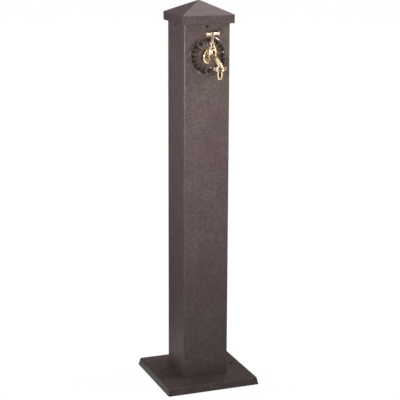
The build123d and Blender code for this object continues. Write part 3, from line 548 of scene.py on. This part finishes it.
def screwFinish():
    material, tree, surface = newFinish("darkScrew")
    colour = blendColour(tree, patches(tree, darkScrew["clouds"]), *darkScrew["tones"])
    tree.links.new(colour, surface.inputs["Base Color"])
    surface.inputs["Metallic"].default_value = darkScrew["metallic"]
    dull = patches(tree, darkScrew["dull"], *darkScrew["roughness"])
    tree.links.new(dull, surface.inputs["Roughness"])
    blacking = relief(tree, darkScrew["blacking"], softEdge(tree, darkScrew["edgeRadius"]))
    tree.links.new(blacking, surface.inputs["Normal"])
    return material


softGoods = {
    # dark and pale tone, roughness
    "blackRubber": ((0.018, 0.018, 0.018), (0.045, 0.044, 0.043), (0.62, 0.80)),
    "redFibre": ((0.17, 0.06, 0.045), (0.27, 0.11, 0.08), (0.70, 0.88)),
    "clouds": (420, 5.0, 0.30, 0.70),
    "dull": (260, 3.0, 0.3, 0.7),
    "grain": (1500, 3.0, 0.00008, 0.5),
}


def softFinish(name):
    dark, pale, roughness = softGoods[name]
    material, tree, surface = newFinish(name)
    colour = blendColour(tree, patches(tree, softGoods["clouds"]), dark, pale)
    tree.links.new(colour, surface.inputs["Base Color"])
    tree.links.new(patches(tree, softGoods["dull"], *roughness), surface.inputs["Roughness"])
    tree.links.new(relief(tree, softGoods["grain"]), surface.inputs["Normal"])
    return material


finishes = {
    "column_paint": paintFinish("columnPaint", paint["column"], corners=True),
    "cap_paint": paintFinish("capPaint", paint["cap"]),
    "foot_paint": paintFinish("footPaint", paint["foot"]),
    "rosette_paint": rosetteFinish(),
    "dark_screw": screwFinish(),
    "polished_brass": brassFinish("polishedBrass", "polished"),
    "turned_brass": brassFinish("turnedBrass", "turned"),
    "zinc_steel": metalFinish("zincSteel"),
    "mild_steel": metalFinish("mildSteel"),
    "copper_pipe": metalFinish("copperPipe"),
    "black_rubber": softFinish("blackRubber"),
    "fibre": softFinish("redFibre"),
}
slotOf = {row["node"]: row["material_slot"] for row in frame["record"]["subparts"]}
for name, obj in nodes.items():
    finish = finishes[slotOf[name]]
    if not obj.material_slots:
        obj.data.materials.append(finish)
    for slot in obj.material_slots:
        slot.material = finish
print("finishes given to", len(slotOf), "nodes")


# Builders for the finer pieces; all their sizes are in millimetres, apart from these two in metres
mergeDistance = 1e-7
cutDistance = 1e-8


# The crease is the angle in degrees past which an edge shows sharp
def finishPiece(name, shape, body, slot, crease=35):
    bmesh.ops.remove_doubles(shape, verts=shape.verts, dist=mergeDistance)
    bmesh.ops.recalc_face_normals(shape, faces=shape.faces)
    mesh = bpy.data.meshes.new(name)
    shape.to_mesh(mesh)
    shape.free()
    mesh.shade_smooth()
    mesh.set_sharp_from_angle(angle=math.radians(crease))
    mesh.materials.append(finishes[slot])
    piece = bpy.data.objects.new(name, mesh)
    bpy.context.scene.collection.objects.link(piece)
    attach(piece, body)
    return piece


def placed(shape, matrix):
    bmesh.ops.transform(shape, matrix=matrix, verts=shape.verts)


def merged(target, source):
    mesh = bpy.data.meshes.new("part")
    source.to_mesh(mesh)
    source.free()
    target.from_mesh(mesh)
    bpy.data.meshes.remove(mesh)


# A turned form: an outline of (radius, height), spun round Z
def turned(shape, outline, steps, closed=False):
    points = [shape.verts.new((mm(radius), 0, mm(height))) for radius, height in outline]
    edges = [shape.edges.new(pair) for pair in zip(points, points[1:])]
    if closed:
        edges.append(shape.edges.new((points[-1], points[0])))
    bmesh.ops.spin(
        shape,
        geom=points + edges,
        cent=(0, 0, 0),
        axis=(0, 0, 1),
        angle=math.tau,
        steps=steps,
        use_merge=True,
    )
    bmesh.ops.remove_doubles(shape, verts=shape.verts, dist=mergeDistance)


hexagon = {
    "steps": 60,
    "flat": 0.985,  # where the flat end starts, of the radius between the sides
    "slope": 0.55,  # how steeply the corners are turned off
}


# A hexagon nut round Z, its corners towards X and turned off at both ends
def hexForm(shape, flats, height, bore, low):
    inner, top = flats / 2, low + height
    flat = inner * hexagon["flat"]
    outline = [(bore, low), (flat, low), (inner, low), (inner, top), (flat, top), (bore, top)]
    turned(shape, outline, hexagon["steps"], closed=True)
    for vert in shape.verts:
        if abs(vert.co.xy.length - mm(inner)) < mergeDistance:
            angle = math.atan2(vert.co.y, vert.co.x) % (math.pi / 3) - math.pi / 6
            over = mm(inner) / math.cos(angle) - mm(inner)
            vert.co.z += hexagon["slope"] * over * (1 if vert.co.z < mm(low + top) / 2 else -1)
            vert.co.xy *= 1 + over / mm(inner)


crossHead = {
    "steps": 32,
    # the dome's outline, of the head's radius and of its rise
    "dome": ((0, 1), (0.35, 0.97), (0.65, 0.84), (0.88, 0.55), (1, 0.16)),
    "point": (0.6, 0.6),  # the shank's end: its radius, of the shank's, and its length
    "slot": (0.13, 0.56),  # half width and reach of the cross, of the head's radius
    "lowest": 0.3,  # of the rise, so that nothing under the head is cut
    "recess": 0.34,  # depth, of the head's radius
    "floor": 0.62,  # size of the recess's floor, of its mouth
}


# A domed screw head with a cross recess, its seat at height 0, and its shank below
def crossScrew(shape, head, rise, shank, length):
    pointRadius, pointLength = crossHead["point"]
    outline = [(head * across, rise * up) for across, up in crossHead["dome"]]
    outline += [(head, 0), (shank, 0), (shank, pointLength - length)]
    outline += [(shank * pointRadius, -length), (0, -length)]
    turned(shape, outline, crossHead["steps"])
    wide, long = (mm(head * share) for share in crossHead["slot"])
    for axis in ((1, 0, 0), (0, 1, 0)):
        for offset in (-long, -wide, wide, long):
            geom = list(shape.verts) + list(shape.edges) + list(shape.faces)
            at = Vector(axis) * offset
            bmesh.ops.bisect_plane(shape, geom=geom, plane_co=at, plane_no=axis, dist=cutDistance)
    cross = []
    for face in shape.faces:
        middle = face.calc_center_median()
        arms = sorted((abs(middle.x), abs(middle.y)))
        if middle.z > mm(rise * crossHead["lowest"]) and arms[0] < wide and arms[1] < long:
            cross.append(face)
    sunk = bmesh.ops.extrude_face_region(shape, geom=cross)
    moved = [part for part in sunk["geom"] if isinstance(part, bmesh.types.BMVert)]
    bmesh.ops.delete(shape, geom=cross, context="FACES")
    bmesh.ops.translate(shape, verts=moved, vec=(0, 0, -mm(head * crossHead["recess"])))
    bmesh.ops.scale(shape, verts=moved, vec=(crossHead["floor"], crossHead["floor"], 1))


# What lies flat on the column's front: X across, Y up and Z outwards from the rosette's middle
onFront = Matrix(((1, 0, 0, 0), (0, 0, -1, columnFront), (0, 1, 0, rosetteMiddle.z), (0, 0, 0, 1)))

rosetteScrew = {
    "circle": 36.0,
    "angles": (122.0, 2.0, -87.0),
    "seat": 5.2,
    "head": 5.2,
    "rise": 3.0,
    "shank": 2.5,
    "length": 13.2,
    "turns": (0.5, 0.9),  # radians: the first cross's turn, and from each to the next
}


def rosettePlaces():
    for angle in rosetteScrew["angles"]:
        reach = rosetteScrew["circle"]
        yield mm(reach * math.cos(math.radians(angle))), mm(reach * math.sin(math.radians(angle)))


def makeRosetteScrews():
    firstTurn, nextTurn = rosetteScrew["turns"]
    screws = bmesh.new()
    for number, (across, up) in enumerate(rosettePlaces()):
        screw = bmesh.new()
        crossScrew(screw, *(rosetteScrew[key] for key in ("head", "rise", "shank", "length")))
        turn = Matrix.Rotation(firstTurn + nextTurn * number, 4, "Z")
        placed(screw, onFront @ Matrix.Translation((across, up, mm(rosetteScrew["seat"]))) @ turn)
        merged(screws, screw)
    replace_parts(finishPiece("rosetteScrewsCut", screws, "stand", "dark_screw"), "rosette_screws")


rosetteBead = {"circle": 7.9, "radius": 0.95, "count": 15, "height": 7.45, "around": 14, "upwards": 8}


# A ring of cast beads on each screw round
def makeRosetteBeads():
    around, upwards, radius = rosetteBead["around"], rosetteBead["upwards"], mm(rosetteBead["radius"])
    beads = bmesh.new()
    for across, up in rosettePlaces():
        for number in range(rosetteBead["count"]):
            angle = math.tau * number / rosetteBead["count"]
            bead = bmesh.ops.create_uvsphere(beads, u_segments=around, v_segments=upwards, radius=radius)
            aside = Vector((math.cos(angle), math.sin(angle), 0)) * mm(rosetteBead["circle"])
            place = aside + Vector((across, up, mm(rosetteBead["height"])))
            bmesh.ops.translate(beads, verts=bead["verts"], vec=place)
    placed(beads, onFront)
    finishPiece("rosetteBeads", beads, "stand", "rosette_paint")


capScrew = {
    "head": 3.4,
    "rise": 1.97,
    "shank": 2.0,
    "length": 10.0,
    "clearance": 0.01,  # keeps the heads inside the CAD's
    "turns": (0.3, 0.7),  # radians, as above
}


def makeCapScrews():
    low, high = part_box("cap_screws")
    middle = (low + high) / 2
    seat = high.x - mm(capScrew["rise"]) - mm(capScrew["clearance"])
    firstTurn, nextTurn = capScrew["turns"]
    screws = bmesh.new()
    for side in range(4):
        screw = bmesh.new()
        crossScrew(screw, *(capScrew[key] for key in ("head", "rise", "shank", "length")))
        turn = Matrix.Rotation(math.pi / 2 * side, 4, "Z") @ Matrix.Translation((seat, 0, 0))
        facing = Matrix.Rotation(math.pi / 2, 4, "Y") @ Matrix.Rotation(nextTurn * side + firstTurn, 4, "Z")
        placed(screw, Matrix.Translation(middle) @ turn @ facing)
        merged(screws, screw)
    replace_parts(finishPiece("capScrewsCut", screws, "stand", "dark_screw"), "cap_screws")


unionNut = {
    "steps": 64,
    "radius": 12.2,
    "bore": 7.55,
    "threadBore": 10.55,
    "lip": 1.6,
    "edge": 1.0,
    "edgeShare": 0.3,  # where the rounded edge's middle point lies
    "groove": 0.45,
    "grooveHeights": (0.30, 0.36, 0.64, 0.70),  # of the nut's height
    "wingSteps": 24,
    # place along the wing, half depth, half height
    "wing": (
        (9.4, 2.1, 3.7),
        (12.4, 1.9, 3.5),
        (14.2, 1.95, 3.9),
        (15.8, 2.3, 4.3),
        (16.7, 2.1, 4.05),
        (17.0, 1.5, 3.4),
    ),
}


# A form drawn out along X through oval sections of (place, half depth, half height)
def drawnOut(shape, sections, segments):
    ring = bmesh.ops.create_circle(shape, cap_ends=True, segments=segments, radius=1.0)["verts"]
    bmesh.ops.rotate(shape, verts=ring, cent=(0, 0, 0), matrix=Matrix.Rotation(math.pi / 2, 3, "Y"))
    face = ring[0].link_faces[0]
    place, depth, height = sections[0]
    bmesh.ops.scale(shape, verts=ring, vec=(1, mm(depth), mm(height)))
    bmesh.ops.translate(shape, verts=ring, vec=(mm(place), 0, 0))
    for nextPlace, nextDepth, nextHeight in sections[1:]:
        made = bmesh.ops.extrude_face_region(shape, geom=[face])["geom"]
        # Only the first face stays, as the closed end
        if place != sections[0][0]:
            bmesh.ops.delete(shape, geom=[face], context="FACES_ONLY")
        ring = [part for part in made if isinstance(part, bmesh.types.BMVert)]
        face = next(part for part in made if isinstance(part, bmesh.types.BMFace))
        bmesh.ops.scale(shape, verts=ring, vec=(1, nextDepth / depth, nextHeight / height))
        bmesh.ops.translate(shape, verts=ring, vec=(mm(nextPlace - place), 0, 0))
        place, depth, height = nextPlace, nextDepth, nextHeight


def makeUnionNut():
    low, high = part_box("union_nut")
    tall = inMm(high.z - low.z)
    radius, bore, threadBore, lip = (unionNut[key] for key in ("radius", "bore", "threadBore", "lip"))
    edge = unionNut["edge"]
    rounded = unionNut["edgeShare"] * edge
    waist = radius - unionNut["groove"]
    grooveLow, waistLow, waistHigh, grooveHigh = (tall * share for share in unionNut["grooveHeights"])
    nut = bmesh.new()
    outline = [(bore, 0), (radius - edge, 0), (radius - rounded, rounded), (radius, edge)]
    outline += [(radius, grooveLow), (waist, waistLow), (waist, waistHigh), (radius, grooveHigh)]
    outline += [(radius, tall - edge), (radius - rounded, tall - rounded), (radius - edge, tall)]
    outline += [(threadBore, tall), (threadBore, lip), (bore, lip)]
    turned(nut, outline, unionNut["steps"], closed=True)
    for side in (0, math.pi):
        wing = bmesh.new()
        drawnOut(wing, unionNut["wing"], unionNut["wingSteps"])
        placed(wing, Matrix.Rotation(side, 4, "Z") @ Matrix.Translation((0, 0, mm(tall / 2))))
        merged(nut, wing)
    middle = (low + high) / 2
    placed(nut, Matrix.Translation((middle.x, middle.y, low.z)))
    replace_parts(finishPiece("unionNutWinged", nut, "union_nut_set", "polished_brass"), "union_nut")


pipeThread = {
    "plain": 10.478,  # the CAD's plain cylinder
    "crest": 10.44,
    "root": 9.55,
    "pitch": 1.814,
    "sunk": 0.3,  # how far the ridge reaches under the root
    "half": 0.42,  # half the ridge's width at its foot, of the pitch
    "top": (1.15, 0.85),  # the narrow top's two edges, of that half width
    "runOut": 0.6,  # turns left out so that the ridge ends below its upper limit
    "perTurn": 32,
}


# A pipe thread's ridge round Z, from one height to the other
def threadOf(low, high):
    pitch, perTurn = pipeThread["pitch"], pipeThread["perTurn"]
    foot, crest = pipeThread["root"] - pipeThread["sunk"], pipeThread["crest"]
    half = pipeThread["half"] * pitch
    topHigh, topLow = (low + share * half for share in pipeThread["top"])
    corners = [(foot, low), (foot, low + 2 * half), (crest, topHigh), (crest, topLow)]
    ridge = bmesh.new()
    face = ridge.faces.new([ridge.verts.new((mm(radius), 0, mm(height))) for radius, height in corners])
    steps = round(((high - low) / pitch - pipeThread["runOut"]) * perTurn)
    bmesh.ops.spin(
        ridge,
        geom=[face] + list(face.edges) + list(face.verts),
        cent=(0, 0, 0),
        axis=(0, 0, 1),
        dvec=(0, 0, mm(pitch / perTurn)),
        angle=math.tau * steps / perTurn,
        steps=steps,
    )
    return ridge


inletNipple = {
    "steps": 64,
    "seal": 1.5,
    "flange": 6.0,
    "flats": 27.0,
    "bore": 7.5,
    "boreEdge": 0.5,
    "innerEdge": (0.5, 0.6),  # how the inner end is turned off: radius, length
    "outerEdge": (0.6, 0.8),
    "collar": (0.01, 0.4),  # how far the plain root runs past the flange, inside and outside
    "innerThread": (1.0, 0.1),  # what the thread leaves free at the inner end and at the seal
    "outerThread": (1.2, 0.6),  # and at the flange and the outer end
    "flangeGap": 0.6,  # between the flange's bore and the nipple's
}


# The supply nipple: hexagon, outer thread for a hose connector, long inner thread for locknut and elbow
def makeInletNipple():
    low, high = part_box("inlet_nipple")
    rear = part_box("inlet_washer")[0].y
    inside, outside = inMm(rear - low.y), inMm(high.y - rear)
    flangeLow = inletNipple["seal"]
    flangeHigh = flangeLow + inletNipple["flange"]
    root, bore, boreEdge = pipeThread["root"], inletNipple["bore"], inletNipple["boreEdge"]
    innerCut, innerLength = inletNipple["innerEdge"]
    outerCut, outerLength = inletNipple["outerEdge"]
    collarIn, collarOut = inletNipple["collar"]
    nipple = bmesh.new()
    outline = [(bore, -inside), (root - innerCut, -inside), (root, innerLength - inside)]
    outline += [(root, flangeLow + collarIn), (root, flangeHigh + collarOut), (root, outside - outerLength)]
    outline += [(root - outerCut, outside), (bore + boreEdge, outside), (bore, outside - boreEdge)]
    turned(nipple, outline, inletNipple["steps"], closed=True)
    freeStart, freeEnd = inletNipple["innerThread"]
    merged(nipple, threadOf(-inside + freeStart, flangeLow - freeEnd))
    freeStart, freeEnd = inletNipple["outerThread"]
    merged(nipple, threadOf(flangeHigh + freeStart, outside - freeEnd))
    flange = bmesh.new()
    flangeBore = bore + inletNipple["flangeGap"]
    hexForm(flange, inletNipple["flats"], inletNipple["flange"], flangeBore, flangeLow)
    merged(nipple, flange)
    middle = (low + high) / 2
    # The nipple's own height runs outwards from the rear wall
    placed(nipple, Matrix(((1, 0, 0, middle.x), (0, 0, 1, rear), (0, -1, 0, middle.z), (0, 0, 0, 1))))
    piece = finishPiece("inletNippleThreaded", nipple, "stand", "turned_brass", crease=25)
    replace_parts(piece, "inlet_nipple")


outlet = {
    "threadTop": 5.6,
    "threadFree": (0.5, 0.2),  # what the thread leaves free below and above
    "near": 0.05,  # how near to the plain cylinder a point of the barrel lies
    "slack": 0.01,  # how far above the thread's top it may lie
    "merge": 0.001,  # the casting's loose triangles are joined within this
}


# The tap's own casting, its outlet barrel turned down to the thread's root, with the ridge on it
def makeTapBody():
    nut = (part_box("union_nut")[0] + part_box("union_nut")[1]) / 2
    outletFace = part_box("outlet_gasket")[1].z
    casting = nodes["tap_body"].data
    body = bmesh.new()
    body.from_mesh(casting)
    ownNormal = body.loops.layers.float_vector.new("ownNormal")
    for face, polygon in zip(body.faces, casting.polygons):
        for loop, corner in zip(face.loops, polygon.loop_indices):
            loop[ownNormal] = casting.corner_normals[corner].vector
    bmesh.ops.remove_doubles(body, verts=body.verts, dist=mm(outlet["merge"]))
    barrelTop = outletFace + mm(outlet["threadTop"] + outlet["slack"])
    barrel = []
    for vert in body.verts:
        reach = math.hypot(vert.co.x - nut.x, vert.co.y - nut.y)
        if abs(reach - mm(pipeThread["plain"])) < mm(outlet["near"]) and vert.co.z < barrelTop:
            barrel.append(vert)
    centre = Matrix.Translation((-nut.x, -nut.y, 0))
    share = pipeThread["root"] / pipeThread["plain"]
    bmesh.ops.scale(body, verts=barrel, vec=(share, share, 1), space=centre)
    below, above = outlet["threadFree"]
    ridge = threadOf(below, outlet["threadTop"] - above)
    placed(ridge, Matrix.Translation((nut.x, nut.y, outletFace)))
    merged(body, ridge)
    piece = finishPiece("tapBodyThreaded", body, "stand", "polished_brass")
    # The casting's own smooth normals come back; the new thread has none and keeps Blender's
    own = piece.data.attributes["ownNormal"]
    piece.data.normals_split_custom_set([Vector(corner.vector) for corner in own.data])
    piece.data.attributes.remove(piece.data.attributes["ownNormal"])
    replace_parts(piece, "tap_body")


gland = {"flats": 13.4, "bore": 2.48, "spigot": 4.25, "spigotSteps": 32, "overlap": 0.3}


def makeGlandNut():
    low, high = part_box("gland_nut")
    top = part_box("bonnet")[1].z
    deep = inMm(top - low.z)
    bore, radius = gland["bore"], gland["spigot"]
    nut = bmesh.new()
    hexForm(nut, gland["flats"], inMm(high.z - top), bore, deep)
    spigot = bmesh.new()
    tall = deep + gland["overlap"]
    outline = [(bore, 0), (radius, 0), (radius, tall), (bore, tall)]
    turned(spigot, outline, gland["spigotSteps"], closed=True)
    merged(nut, spigot)
    middle = (low + high) / 2
    placed(nut, Matrix.Translation((middle.x, middle.y, low.z)))
    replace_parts(finishPiece("glandNutCut", nut, "stand", "polished_brass", crease=25), "gland_nut")


makeRosetteScrews()
makeRosetteBeads()
makeCapScrews()
makeUnionNut()
makeInletNipple()
makeTapBody()
makeGlandNut()
print("finer pieces made")
